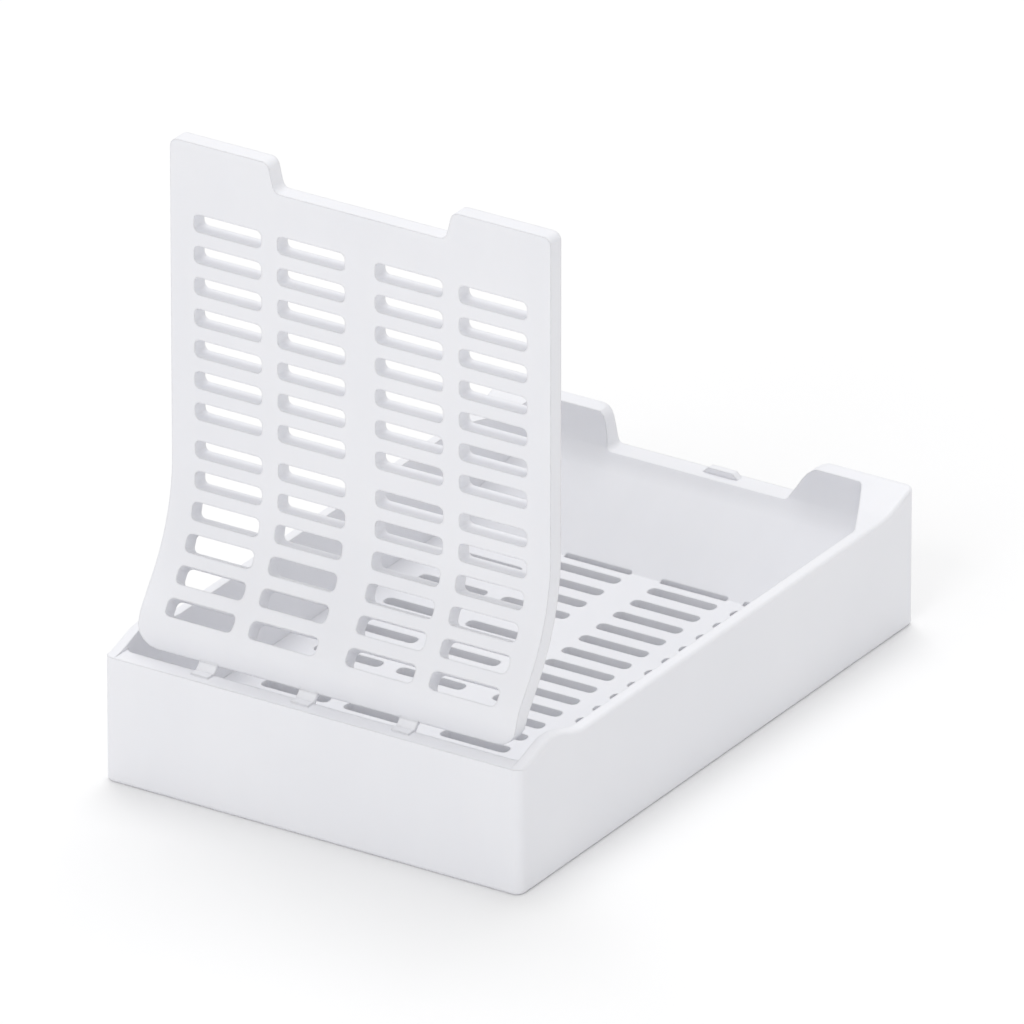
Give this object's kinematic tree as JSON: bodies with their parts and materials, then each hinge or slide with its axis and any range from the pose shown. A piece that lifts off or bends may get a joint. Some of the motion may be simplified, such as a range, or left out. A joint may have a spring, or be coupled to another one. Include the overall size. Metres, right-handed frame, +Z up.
{
  "type": "tissue cassette",
  "caption": "Open plastic tissue cassette: slotted tray with a slanted label panel, and a slotted lid that stands on a thin living hinge.",
  "frame": {"origin": "on the surface that the tray stands on, under the middle of the open cassette's box", "axes": "+X across the tray, +Y from the hinge end to the label end, +Z up"},
  "size_m": [0.0286, 0.043, 0.0391],
  "materials": {
    "white_plastic": "satin, as moulded"
  },
  "bodies": {
    "base": {"tray": "white_plastic"},
    "lid": {"lid": "white_plastic"}
  },
  "joints": [
    {"name": "lid_hinge", "type": "hinge", "parent": "base", "child": "lid", "pos_m": [0, -0.02, 0.0083], "axis": [1, 0, 0], "range_deg": [-90, 90]}
  ]
}
